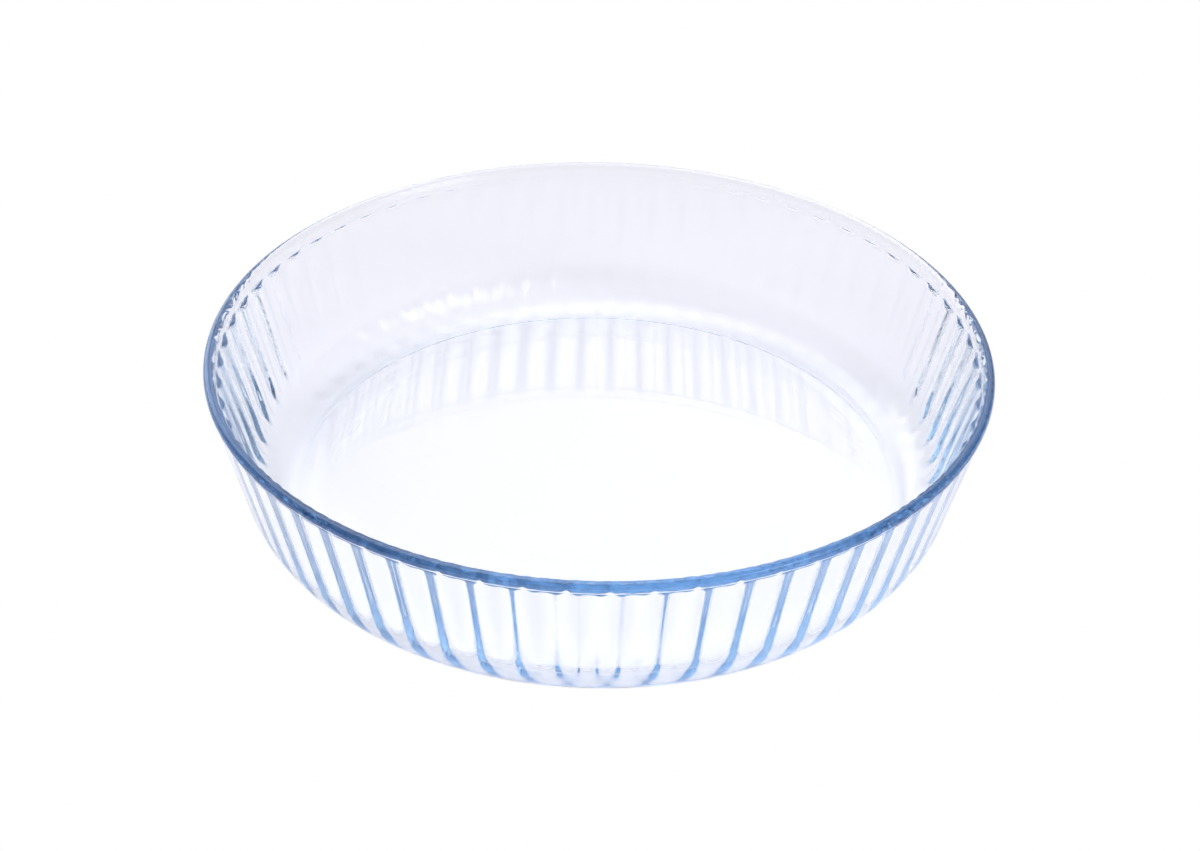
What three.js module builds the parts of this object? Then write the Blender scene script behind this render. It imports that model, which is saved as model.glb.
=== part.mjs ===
// Round baking dish, pressed in one piece from clear, faintly blue glass.
// Millimetres, +Z up, the foot rests on z = 0 and the axis of the dish is the Z axis.
import * as THREE from 'three';

// Overall
const RIM_DIAMETER = 260;       // over the bead of the rim
const HEIGHT = 57;              // table to the top of the rim

// Rim
const BEAD_DIAMETER = 3.9;      // round section that ends the wall
const BEAD_PROUD = 0.3;         // bead beyond the outside of the wall
const RIM_LAND = 3;             // plain upright band inside, from the top of the rim

// Wall, floor and foot
const WALL_LEAN_DEG = 13.1;     // outside, from the vertical
const WALL_AT_FLOOR = 4.8;      // between the ribs, level with the floor
const FLOOR_TOP = 5.2;          // table to the inside of the floor
const HEEL_RADIUS = 21.1;       // outside, from the wall to the foot
const HEEL_CUT = 0.2;           // round of the heel that the flat of the foot takes off
const CORNER_RADIUS = 18;       // inside, from the floor to the wall
const FOOT_WIDTH = 10;          // flat ring that touches the table
const FOOT_RECESS = 0.25;       // lift of the underside inside that ring
const FOOT_RAMP = 6;            // width of the slope up to that lift

// Ribs on the inside of the wall
const RIB_COUNT = 64;
const RIB_HEIGHT = 1.35;        // above the hollow between two ribs
const RIB_WIDTH = 5.7;          // rounded part of a rib, at the rim
const RIB_GAP = 1.7;            // below the land of the rim
const RIB_RISE = 1.5;           // rounded top end of a rib
const RIB_LOW = 0.8;            // share of the height left where the corner starts
const RIB_END = 0.55;           // share of the corner that a rib runs down, to a soft end
const RIB_TURN_DEG = -0.7;      // first rib, from the front (-Y) towards +X

// Facets
const FINE_STEPS = 6;           // per rib, where the surface is ribbed
const PLAIN_STEPS = 2;          // per rib, where it is round
const HEEL_STEPS = 6;
const BEAD_STEPS = 2;           // on each of the bead's three stretches
const CORNER_STEPS = 5;

const GLASS = new THREE.MeshStandardMaterial({
  color: 0xdfe8f8,
  roughness: 0.05,
  metalness: 0,
  transparent: true,
  opacity: 0.35,
});

// Share of a rib's height at a phase of 0 to 1 from the middle of one rib to the next.
// A rounded rib and a round hollow are two arcs that meet on one slope.
function ribShape(phase) {
  const pitch = Math.PI * RIM_DIAMETER / RIB_COUNT;
  const half = RIB_WIDTH / pitch / 2;
  const hollow = 0.5 - half;
  const fromRib = Math.min(phase, 1 - phase);
  if (fromRib < half) return 1 - 2 * fromRib ** 2 / half;
  return 2 * (0.5 - fromRib) ** 2 / hollow;
}

// Points of an arc, both ends included. Angles turn from straight down towards outward.
function arc(centre, radius, from, to, steps) {
  const points = [];
  for (let i = 0; i <= steps; i += 1) {
    const angle = from + (to - from) * i / steps;
    const out = new THREE.Vector2(Math.sin(angle), -Math.cos(angle));
    points.push({ at: centre.clone().addScaledVector(out, radius), out });
  }
  return points;
}

// Half section of the dish, from the axis under the floor, round the outside and over the rim,
// to the axis on top of the floor. x is the radius and y the height. A point's rib is the share
// of the rib height there, raised along its normal into the dish.
function halfSection() {
  const beadRadius = BEAD_DIAMETER / 2;
  const bead = new THREE.Vector2(RIM_DIAMETER / 2 - beadRadius, HEIGHT - beadRadius);

  // The outside of the wall, and the heel that meets it and the flat of the foot.
  const lean = THREE.MathUtils.degToRad(WALL_LEAN_DEG);
  const outward = new THREE.Vector2(Math.cos(lean), -Math.sin(lean));
  const upward = new THREE.Vector2(Math.sin(lean), Math.cos(lean));
  const wallOffset = beadRadius - BEAD_PROUD;
  const besideBead = bead.clone().addScaledVector(outward, wallOffset);
  const underBead = Math.sqrt(beadRadius ** 2 - wallOffset ** 2);
  const wallTop = besideBead.clone().addScaledVector(upward, -underBead);
  const heelY = HEEL_RADIUS - HEEL_CUT;
  const heelDrop = (heelY - besideBead.y) * outward.y + HEEL_RADIUS;
  const heel = new THREE.Vector2(besideBead.x - heelDrop / outward.x, heelY);
  const heelStart = Math.acos(heelY / HEEL_RADIUS);
  const heelEnd = Math.PI / 2 - lean;
  const footInside = heel.x + HEEL_RADIUS * Math.sin(heelStart) - FOOT_WIDTH;

  // The inside between the ribs, from the land of the rim down to the round corner at the floor.
  const land = new THREE.Vector2(bead.x - beadRadius, HEIGHT - RIM_LAND);
  const outsideAtFloor = besideBead.x + (FLOOR_TOP - besideBead.y) * Math.tan(lean);
  const innerFoot = new THREE.Vector2(outsideAtFloor - WALL_AT_FLOOR, FLOOR_TOP);
  const toLand = land.clone().sub(innerFoot);
  const innerLean = Math.atan2(toLand.x, toLand.y);
  const down = toLand.clone().normalize().negate();
  const inward = new THREE.Vector2(-Math.cos(innerLean), Math.sin(innerLean));
  const cornerX = innerFoot.x - CORNER_RADIUS * Math.tan((Math.PI / 2 - innerLean) / 2);
  const corner = new THREE.Vector2(cornerX, FLOOR_TOP + CORNER_RADIUS);

  const section = [
    { at: new THREE.Vector2(0, FOOT_RECESS) },
    { at: new THREE.Vector2(footInside - FOOT_RAMP, FOOT_RECESS) },
    { at: new THREE.Vector2(footInside, 0) },
    ...arc(heel, HEEL_RADIUS, heelStart, heelEnd, HEEL_STEPS),
  ];
  const toWall = wallTop.clone().sub(bead);
  const beadStart = Math.atan2(toWall.x, -toWall.y);
  section.push(...arc(bead, beadRadius, beadStart, Math.PI / 2, BEAD_STEPS));
  section.push(...arc(bead, beadRadius, Math.PI / 2, Math.PI, BEAD_STEPS).slice(1));
  section.push(...arc(bead, beadRadius, Math.PI, 3 * Math.PI / 2, BEAD_STEPS).slice(1));
  section.push({ at: land });

  // Rounded top ends of the ribs, then their run down the wall and their end on the corner.
  for (const turn of [0, Math.PI / 6, Math.PI / 3, Math.PI / 2]) {
    const below = RIB_GAP + RIB_RISE * (1 - Math.cos(turn));
    section.push({ at: land.clone().addScaledVector(down, below), inward, rib: Math.sin(turn) });
  }
  const round = arc(corner, CORNER_RADIUS, Math.PI / 2 - innerLean, 0, CORNER_STEPS);
  round.forEach((point, i) => {
    const left = Math.max(0, 1 - (i / CORNER_STEPS / RIB_END) ** 2);
    section.push({ at: point.at, inward: point.out.clone().negate(), rib: RIB_LOW * left });
  });
  section.push({ at: new THREE.Vector2(0, FLOOR_TOP) });
  return section;
}

// Vertices of the ring that a point of the half section sweeps. On the axis it is one vertex.
function ring({ at, inward, rib = 0 }) {
  if (at.x === 0) return [new THREE.Vector3(0, 0, at.y)];
  const steps = RIB_COUNT * (rib > 0 ? FINE_STEPS : PLAIN_STEPS);
  const start = THREE.MathUtils.degToRad(RIB_TURN_DEG - 90);
  const vertices = [];
  for (let i = 0; i < steps; i += 1) {
    const turn = i / steps;
    const angle = start + 2 * Math.PI * turn;
    const point = at.clone();
    if (rib > 0) point.addScaledVector(inward, RIB_HEIGHT * rib * ribShape(turn * RIB_COUNT % 1));
    vertices.push(new THREE.Vector3(point.x * Math.cos(angle), point.x * Math.sin(angle), point.y));
  }
  return vertices;
}

// Triangles between two rings of vertex numbers, which may hold different counts.
function zip(lower, upper) {
  const triangles = [];
  let i = 0;
  let j = 0;
  const lowerEnd = lower.length > 1 ? lower.length : 0;
  const upperEnd = upper.length > 1 ? upper.length : 0;
  while (i < lowerEnd || j < upperEnd) {
    const lowerFirst = (i + 1) * upper.length <= (j + 1) * lower.length;
    const here = lower[i % lower.length];
    const across = upper[j % upper.length];
    if (j >= upperEnd || (i < lowerEnd && lowerFirst)) {
      triangles.push(here, lower[(i + 1) % lower.length], across);
      i += 1;
    } else {
      triangles.push(here, upper[(j + 1) % upper.length], across);
      j += 1;
    }
  }
  return triangles;
}

function dishGeometry() {
  const vertices = [];
  const rings = halfSection().map((point) => ring(point).map((vertex) => vertices.push(vertex) - 1));
  const triangles = [];
  for (let k = 1; k < rings.length; k += 1) triangles.push(...zip(rings[k - 1], rings[k]));
  const geometry = new THREE.BufferGeometry().setFromPoints(vertices);
  geometry.setIndex(triangles);
  geometry.computeVertexNormals();
  return geometry;
}

const dish = new THREE.Mesh(dishGeometry(), GLASS);
dish.name = 'glass_dish';

const part = new THREE.Group();
part.add(dish);

export default part;
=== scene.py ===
# Round baking dish, pressed in one piece from clear, faintly blue glass, on a plain white table.
# Metres, +Z up: the foot rests on z = 0 and the axis of the dish is the Z axis.
import math

import bpy
import numpy as np
from mathutils import Matrix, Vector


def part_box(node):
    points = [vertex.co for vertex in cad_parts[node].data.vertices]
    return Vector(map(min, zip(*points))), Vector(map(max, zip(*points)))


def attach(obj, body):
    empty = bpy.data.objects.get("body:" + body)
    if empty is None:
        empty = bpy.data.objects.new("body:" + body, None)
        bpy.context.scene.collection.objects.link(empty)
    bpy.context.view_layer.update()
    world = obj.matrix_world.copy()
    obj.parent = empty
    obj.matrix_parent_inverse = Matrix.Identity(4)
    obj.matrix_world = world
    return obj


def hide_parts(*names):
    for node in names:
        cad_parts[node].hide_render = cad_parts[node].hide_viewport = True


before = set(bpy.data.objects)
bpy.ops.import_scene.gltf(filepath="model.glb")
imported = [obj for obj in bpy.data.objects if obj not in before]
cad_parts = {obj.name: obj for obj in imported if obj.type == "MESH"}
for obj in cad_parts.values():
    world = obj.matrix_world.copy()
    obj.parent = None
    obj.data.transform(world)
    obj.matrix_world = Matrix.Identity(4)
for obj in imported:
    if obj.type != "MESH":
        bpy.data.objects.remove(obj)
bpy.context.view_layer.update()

MM = 0.001

# Overall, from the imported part
DISH_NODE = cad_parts["glass_dish"]
RIM_RADIUS = max(vertex.co.xy.length for vertex in DISH_NODE.data.vertices)
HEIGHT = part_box("glass_dish")[1].z

# Rim
BEAD_RADIUS = 1.95 * MM         # round section that ends the wall
BEAD_PROUD = 0.3 * MM           # bead beyond the outside of the wall
BEAD_FILLET = 1.5 * MM          # hollow under the bead, outside
RIM_LAND = 3 * MM               # plain upright band inside, from the top of the rim
LAND_ROUND = 2 * MM             # soft edge at the foot of that band

# Wall, floor and foot
WALL_LEAN = math.radians(13.1)  # outside, from the vertical
WALL_AT_FLOOR = 4.8 * MM        # between the ribs, level with the floor
FLOOR_TOP = 5.2 * MM            # table to the inside of the floor
HEEL_RADIUS = 21.1 * MM         # outside, from the wall to the foot
HEEL_CUT = 0.2 * MM             # round of the heel that the flat of the foot takes off
CORNER_RADIUS = 18 * MM         # inside, from the floor to the wall
FOOT_WIDTH = 10 * MM            # flat ring that touches the table
FOOT_RECESS = 0.25 * MM         # lift of the underside inside that ring
FOOT_RAMP = 6 * MM              # width of the slope up to that lift
EDGE = 0.3 * MM                 # soft edges of the flat ring
SEAM_WIDTH = 0.9 * MM           # fine groove where the mould parts, at the outside of the ring
SEAM_DEPTH = 0.2 * MM

# Ribs on the inside of the wall
RIB_COUNT = 64
RIB_HEIGHT = 1.35 * MM          # above the hollow between two ribs
RIB_WIDTH = 5.7 * MM            # rounded part of a rib, at the rim
RIB_GAP = 1.7 * MM              # below the land of the rim
RIB_RISE = 1.5 * MM             # rounded top end of a rib
RIB_LOW = 0.8                   # share of the height left where the corner starts
RIB_END = 0.55                  # share of the corner that a rib runs down, to a soft end
RIB_TURN = math.radians(-0.7)   # first rib, from the front (-Y) towards +X

# Ripple of the pressed surface inside the rim, a sum of waves
RIPPLE = 0.3 * MM               # deepest place
RIPPLE_DEPTH = 7 * MM           # from the top of the rim, where it has faded out
RIPPLE_WAVES = 12
RIPPLE_AROUND = (70, 200)       # a wave's crests in one turn: the fewest, and one more than the most
RIPPLE_ALONG = 2 / MM           # most radians per metre along the section, either way
RIPPLE_SPREAD = 0.35            # swing of the waves about half the depth, as a share of it
RIPPLE_SEED = 5

# Mesh steps
RIB_COLUMNS = 24                # round the dish, per rib
RAMP_STEPS = 8
HEEL_STEPS = 32
WALL_STEPS = 7
FILLET_STEPS = 5
BEAD_STEPS = 24
LAND_STEPS = 3
LAND_ROUND_STEPS = 4
RIB_TOP_STEPS = 14
RIB_RUN_STEPS = 8
CORNER_STEPS = 28
FLOOR_RING = 1 * MM             # from the corner to the first ring of the flat floor

# Glass
GLASS_IOR = 1.47
GLASS_TINT = (0.1, 0.5, 0.84)
GLASS_DENSITY = 6               # per metre

# Camera
LENS = 61.47                    # millimetres on a sensor 36 wide
SENSOR = 36
CAMERA_DISTANCE = 0.70896
CAMERA_ELEVATION = 0.6195       # radians, above the horizon
CAMERA_LIFT = HEIGHT - 51.392 * MM
CAMERA_TILT = 0.01984
CAMERA_PAN = -0.00091
CAMERA_ROLL = 0.0219
CAMERA_NEAR = 10 * MM

# Table
TABLE_REACH = 3
TABLE_GAP = 0.2 * MM            # below the foot
TABLE_COLOUR = (0.945, 0.935, 0.995)
TABLE_OWN = 0.32                # light that the white surroundings give it, seen in or through glass

# Studio: a dark room with soft round lights. Each has its azimuth, from the camera's side (-Y)
# towards +X, and its height, the angles at which it starts and ends to fade, and a brightness.
ROOM = (0.003, 0.005, 0.02)
LIGHTS = (
    (178, 29, 6, 13, 0.9),
    (190, 20, 30, 52, 0.5),
    (218, 18, 8, 26, 1.9),
    (157, 24, 8, 26, 0.8),
    (205, 63, 14, 33, 2.3),
    (57, 34, 5, 18, 2.6),
)
LIGHT_BOUNCES = 64


# Points of an arc and its outward directions. Angles turn from straight down towards outward.
def arc(centre, radius, start, end, steps):
    angles = np.linspace(start, end, steps + 1)
    out = np.column_stack((np.sin(angles), -np.cos(angles)))
    return centre + radius * out, out


def smooth(t):
    return t * t * (3 - 2 * t)


# Half section of the underside, from the axis to the outer edge of the flat ring.
def foot_section(foot_outside):
    foot_inside = foot_outside - FOOT_WIDTH
    ramp = np.linspace(0, 1, RAMP_STEPS + 1)
    ramp_points = np.column_stack((
        foot_inside - FOOT_RAMP * (1 - ramp),
        FOOT_RECESS * (1 - smooth(ramp)),
    ))
    return [
        (0, FOOT_RECESS),
        (foot_inside - FOOT_RAMP - EDGE, FOOT_RECESS),
        *ramp_points,
        (foot_inside + EDGE, 0),
        (foot_outside - EDGE - SEAM_WIDTH, 0),
        (foot_outside - EDGE - SEAM_WIDTH / 2, SEAM_DEPTH),
        (foot_outside - EDGE, 0),
    ]


# Half section of the outside, from the axis under the floor to the middle of the rim's inner side.
def outside_section(bead):
    outward = np.array((math.cos(WALL_LEAN), -math.sin(WALL_LEAN)))
    upward = np.array((math.sin(WALL_LEAN), math.cos(WALL_LEAN)))
    wall_angle = math.pi / 2 - WALL_LEAN
    beside_bead = bead + outward * (BEAD_RADIUS - BEAD_PROUD)

    # The foot, and the heel that meets its flat and the wall.
    heel_z = HEEL_RADIUS - HEEL_CUT
    heel_drop = (heel_z - beside_bead[1]) * outward[1] + HEEL_RADIUS
    heel = np.array((beside_bead[0] - heel_drop / outward[0], heel_z))
    heel_start = math.acos(heel_z / HEEL_RADIUS)
    heel_points, _ = arc(heel, HEEL_RADIUS, heel_start, wall_angle, HEEL_STEPS)
    foot_points = foot_section(heel_points[0][0])

    # The wall, the hollow under the bead and the bead.
    hollow_drop = math.sqrt(
        (BEAD_RADIUS + BEAD_FILLET) ** 2 - (BEAD_RADIUS - BEAD_PROUD + BEAD_FILLET) ** 2
    )
    wall_top = beside_bead - upward * hollow_drop
    hollow = wall_top + outward * BEAD_FILLET
    wall_points = np.linspace(heel_points[-1], wall_top, WALL_STEPS + 1)[1:]
    to_hollow = hollow - bead
    bead_start = math.atan2(to_hollow[0], -to_hollow[1])
    hollow_points, _ = arc(hollow, -BEAD_FILLET, wall_angle, bead_start, FILLET_STEPS)
    bead_points, _ = arc(bead, BEAD_RADIUS, bead_start, 3 * math.pi / 2, BEAD_STEPS)
    return np.vstack((foot_points, heel_points, wall_points, hollow_points[1:], bead_points[1:]))


# Half section of the inside, from the land of the rim to the axis on top of the floor, with the
# direction in which a rib stands at each point and the share of the rib height there.
def inside_section(bead):
    land = np.array((bead[0] - BEAD_RADIUS, HEIGHT - RIM_LAND))
    outside_at_floor = (
        bead[0]
        + (BEAD_RADIUS - BEAD_PROUD) / math.cos(WALL_LEAN)
        + (FLOOR_TOP - bead[1]) * math.tan(WALL_LEAN)
    )
    inner_foot = np.array((outside_at_floor - WALL_AT_FLOOR, FLOOR_TOP))
    lean = math.atan2(*(land - inner_foot))
    down = (inner_foot - land) / np.linalg.norm(inner_foot - land)
    inward = np.array((-math.cos(lean), math.sin(lean)))
    wall_angle = math.pi / 2 - lean
    corner = np.array((
        inner_foot[0] - CORNER_RADIUS * math.tan(wall_angle / 2),
        FLOOR_TOP + CORNER_RADIUS,
    ))

    # The land and its soft foot.
    soft_top = land + (0, LAND_ROUND * math.tan(lean / 2))
    soft_centre = soft_top - (LAND_ROUND, 0)
    land_points = np.linspace((land[0], bead[1]), soft_top, LAND_STEPS + 1)[1:]
    soft_points, _ = arc(soft_centre, LAND_ROUND, math.pi / 2, wall_angle, LAND_ROUND_STEPS)
    plain = np.vstack((land_points, soft_points[1:]))

    # The rounded top ends of the ribs, their run down the wall and their end on the corner.
    turns = np.linspace(0, math.pi / 2, RIB_TOP_STEPS + 1)
    top_points = land + np.outer(RIB_GAP + RIB_RISE * (1 - np.cos(turns)), down)
    corner_points, corner_out = arc(corner, CORNER_RADIUS, wall_angle, 0, CORNER_STEPS)
    run = np.linspace(0, 1, RIB_RUN_STEPS + 1)
    run_points = top_points[-1] + np.outer(run, corner_points[0] - top_points[-1])
    left = np.clip(1 - (np.linspace(0, 1, CORNER_STEPS + 1) / RIB_END) ** 2, 0, 1)
    floor_points = np.array((
        (corner[0] - FLOOR_RING, FLOOR_TOP),
        (corner[0] / 2, FLOOR_TOP),
        (0, FLOOR_TOP),
    ))

    points = np.vstack((plain, top_points, run_points[1:], corner_points[1:], floor_points))
    wall_count = len(plain) + len(top_points) + RIB_RUN_STEPS
    stand = np.vstack((
        np.tile(inward, (wall_count, 1)),
        -corner_out[1:],
        np.tile((0, 1), (len(floor_points), 1)),
    ))
    share = np.concatenate((
        np.zeros(len(plain)),
        np.sin(turns),
        1 + (RIB_LOW - 1) * run[1:],
        RIB_LOW * left[1:],
        np.zeros(len(floor_points)),
    ))
    return points, stand, share


# Share of a rib's height at phases of 0 to 1 from the middle of one rib to the next: a rounded rib
# and a round hollow are two arcs that meet on one slope.
def rib_shape(phase):
    pitch = 2 * math.pi * RIM_RADIUS / RIB_COUNT
    half = RIB_WIDTH / pitch / 2
    hollow = 0.5 - half
    from_rib = np.minimum(phase, 1 - phase)
    return np.where(from_rib < half, 1 - 2 * from_rib ** 2 / half, 2 * (0.5 - from_rib) ** 2 / hollow)


# Depth of the ripple, by the length along the section and by the turn round the dish.
def ripple(length, turn):
    waves = np.random.default_rng(RIPPLE_SEED)
    total = 0
    for _ in range(RIPPLE_WAVES):
        around = 2 * math.pi * waves.integers(*RIPPLE_AROUND)
        along = waves.uniform(-RIPPLE_ALONG, RIPPLE_ALONG)
        total = total + np.sin(around * turn + along * length[:, None] + waves.uniform(0, 2 * math.pi))
    return RIPPLE * np.clip(0.5 + total / math.sqrt(RIPPLE_WAVES) * RIPPLE_SPREAD, 0, 1)


# Moves of the section's points into the glass at each turn, on the inside of the rim alone. They
# only take glass off, which keeps the overall size.
def rim_ripple(points, bead, turn):
    along = np.gradient(points, axis=0)
    along /= np.linalg.norm(along, axis=1)[:, None]
    into_glass = np.column_stack((-along[:, 1], along[:, 0]))
    length = np.cumsum(np.linalg.norm(np.diff(points, axis=0, prepend=points[:1]), axis=1))
    fade = smooth(np.clip(1 - (HEIGHT - points[:, 1]) / RIPPLE_DEPTH, 0, 1))
    fade *= smooth(np.clip((bead[0] - points[:, 0]) / BEAD_RADIUS, 0, 1))
    return into_glass[:, :, None] * (fade[:, None] * ripple(length, turn))[:, None, :]


def dish_mesh():
    bead = np.array((RIM_RADIUS - BEAD_RADIUS, HEIGHT - BEAD_RADIUS))
    outside = outside_section(bead)
    inside, stand, share = inside_section(bead)
    points = np.vstack((outside, inside))
    stand = np.vstack((np.zeros_like(outside), stand))
    share = np.concatenate((np.zeros(len(outside)), share))

    # Every point but the two on the axis sweeps a ring.
    columns = RIB_COUNT * RIB_COLUMNS
    turn = np.arange(columns) / columns
    angle = RIB_TURN - math.pi / 2 + 2 * math.pi * turn
    rib = RIB_HEIGHT * rib_shape(turn * RIB_COUNT % 1)
    swept = points[:, :, None] + stand[:, :, None] * (share[:, None] * rib)[:, None, :]
    swept += rim_ripple(points, bead, turn)
    radius, height = swept[1:-1, 0], swept[1:-1, 1]
    rings = np.stack((radius * np.cos(angle), radius * np.sin(angle), height), axis=-1)
    vertices = np.vstack(((0, 0, points[0, 1]), rings.reshape(-1, 3), (0, 0, points[-1, 1])))

    index = np.arange(rings.shape[0] * columns).reshape(-1, columns) + 1
    following = np.roll(index, -1, axis=1)
    quads = np.stack((index[:-1], following[:-1], following[1:], index[1:]), axis=-1).reshape(-1, 4)
    under = [(0, b, a) for a, b in zip(index[0], following[0])]
    over = [(len(vertices) - 1, a, b) for a, b in zip(index[-1], following[-1])]
    mesh = bpy.data.meshes.new("glass_dish_fine")
    mesh.from_pydata(vertices.tolist(), [], under + quads.tolist() + over)
    mesh.polygons.foreach_set("use_smooth", np.ones(len(mesh.polygons), bool))
    mesh.update()
    return mesh


def glass_material():
    material = bpy.data.materials.new("blue_glass")
    material.use_nodes = True
    nodes, links = material.node_tree.nodes, material.node_tree.links
    surface = nodes["Principled BSDF"]
    surface.inputs["Base Color"].default_value = (1, 1, 1, 1)
    surface.inputs["Transmission Weight"].default_value = 1
    surface.inputs["Roughness"].default_value = 0
    surface.inputs["IOR"].default_value = GLASS_IOR
    tint = nodes.new("ShaderNodeVolumeAbsorption")
    tint.inputs["Color"].default_value = (*GLASS_TINT, 1)
    tint.inputs["Density"].default_value = GLASS_DENSITY
    links.new(tint.outputs["Volume"], nodes["Material Output"].inputs["Volume"])
    return material


def add_object(name, data):
    piece = bpy.data.objects.new(name, data)
    bpy.context.scene.collection.objects.link(piece)
    return piece


def make_dish():
    mesh = dish_mesh()
    mesh.materials.append(glass_material())
    dish = add_object("glass_dish_fine", mesh)
    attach(dish, "root")
    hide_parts("glass_dish")


# White where the camera sees it, and a pale lit surface with the dish's shadow for other rays. Those
# that come by way of the glass also see its own share of light.
def table_material():
    material = bpy.data.materials.new("white_table")
    material.use_nodes = True
    nodes, links = material.node_tree.nodes, material.node_tree.links
    nodes.clear()
    path = nodes.new("ShaderNodeLightPath")
    white = nodes.new("ShaderNodeEmission")
    lit = nodes.new("ShaderNodeBsdfDiffuse")
    lit.inputs["Color"].default_value = (*TABLE_COLOUR, 1)
    own = nodes.new("ShaderNodeEmission")
    own.inputs["Color"].default_value = (*TABLE_COLOUR, 1)
    by_glass = nodes.new("ShaderNodeMath")
    by_glass.operation = "MAXIMUM"
    own_share = nodes.new("ShaderNodeMath")
    own_share.operation = "MULTIPLY"
    own_share.inputs[1].default_value = TABLE_OWN
    pale = nodes.new("ShaderNodeAddShader")
    mix = nodes.new("ShaderNodeMixShader")
    output = nodes.new("ShaderNodeOutputMaterial")
    links.new(path.outputs["Is Glossy Ray"], by_glass.inputs[0])
    links.new(path.outputs["Is Transmission Ray"], by_glass.inputs[1])
    links.new(by_glass.outputs["Value"], own_share.inputs[0])
    links.new(own_share.outputs["Value"], own.inputs["Strength"])
    links.new(lit.outputs["BSDF"], pale.inputs[0])
    links.new(own.outputs["Emission"], pale.inputs[1])
    links.new(path.outputs["Is Camera Ray"], mix.inputs["Fac"])
    links.new(pale.outputs["Shader"], mix.inputs[1])
    links.new(white.outputs["Emission"], mix.inputs[2])
    links.new(mix.outputs["Shader"], output.inputs["Surface"])
    return material


def make_table():
    r = TABLE_REACH
    mesh = bpy.data.meshes.new("table")
    mesh.from_pydata([(-r, -r, 0), (r, -r, 0), (r, r, 0), (-r, r, 0)], [], [(0, 1, 2, 3)])
    mesh.materials.append(table_material())
    table = add_object("table", mesh)
    table.location.z = -TABLE_GAP


def make_studio():
    world = bpy.data.worlds.new("studio")
    world.use_nodes = True
    nodes, links = world.node_tree.nodes, world.node_tree.links
    direction = nodes.new("ShaderNodeTexCoord")
    room = nodes.new("ShaderNodeCombineXYZ")
    for axis, value in zip("XYZ", ROOM):
        room.inputs[axis].default_value = value
    total = room.outputs["Vector"]
    for azimuth, height, inner, outer, brightness in LIGHTS:
        turn, rise = math.radians(azimuth), math.radians(height)
        towards = nodes.new("ShaderNodeVectorMath")
        towards.operation = "DOT_PRODUCT"
        towards.inputs[1].default_value = (
            math.cos(rise) * math.sin(turn),
            -math.cos(rise) * math.cos(turn),
            math.sin(rise),
        )
        fade = nodes.new("ShaderNodeMapRange")
        fade.interpolation_type = "SMOOTHSTEP"
        fade.inputs["From Min"].default_value = math.cos(math.radians(outer))
        fade.inputs["From Max"].default_value = math.cos(math.radians(inner))
        fade.inputs["To Max"].default_value = brightness
        add = nodes.new("ShaderNodeVectorMath")
        add.operation = "ADD"
        links.new(direction.outputs["Generated"], towards.inputs[0])
        links.new(towards.outputs["Value"], fade.inputs["Value"])
        links.new(fade.outputs["Result"], add.inputs[0])
        links.new(total, add.inputs[1])
        total = add.outputs["Vector"]
    links.new(total, nodes["Background"].inputs["Color"])
    bpy.context.scene.world = world


def make_camera():
    data = bpy.data.cameras.new("camera")
    data.sensor_width = SENSOR
    data.lens = LENS
    data.clip_start = CAMERA_NEAR
    camera = add_object("camera", data)
    place = Matrix.Translation((
        0,
        -CAMERA_DISTANCE * math.cos(CAMERA_ELEVATION),
        CAMERA_DISTANCE * math.sin(CAMERA_ELEVATION) + CAMERA_LIFT,
    ))
    look = Matrix.Rotation(math.pi / 2 - CAMERA_ELEVATION + CAMERA_TILT, 4, "X")
    pan = Matrix.Rotation(CAMERA_PAN, 4, "Y")
    roll = Matrix.Rotation(CAMERA_ROLL, 4, "Z")
    camera.matrix_world = place @ look @ pan @ roll
    bpy.context.scene.camera = camera


# Light passes many times between the faces of clear glass, and the table is seen sharp through it.
def set_light_paths():
    cycles = bpy.context.scene.cycles
    cycles.max_bounces = LIGHT_BOUNCES
    cycles.transmission_bounces = LIGHT_BOUNCES
    cycles.glossy_bounces = LIGHT_BOUNCES
    cycles.blur_glossy = 0


make_camera()
make_dish()
make_table()
make_studio()
set_light_paths()
bpy.context.scene.view_settings.view_transform = "Standard"
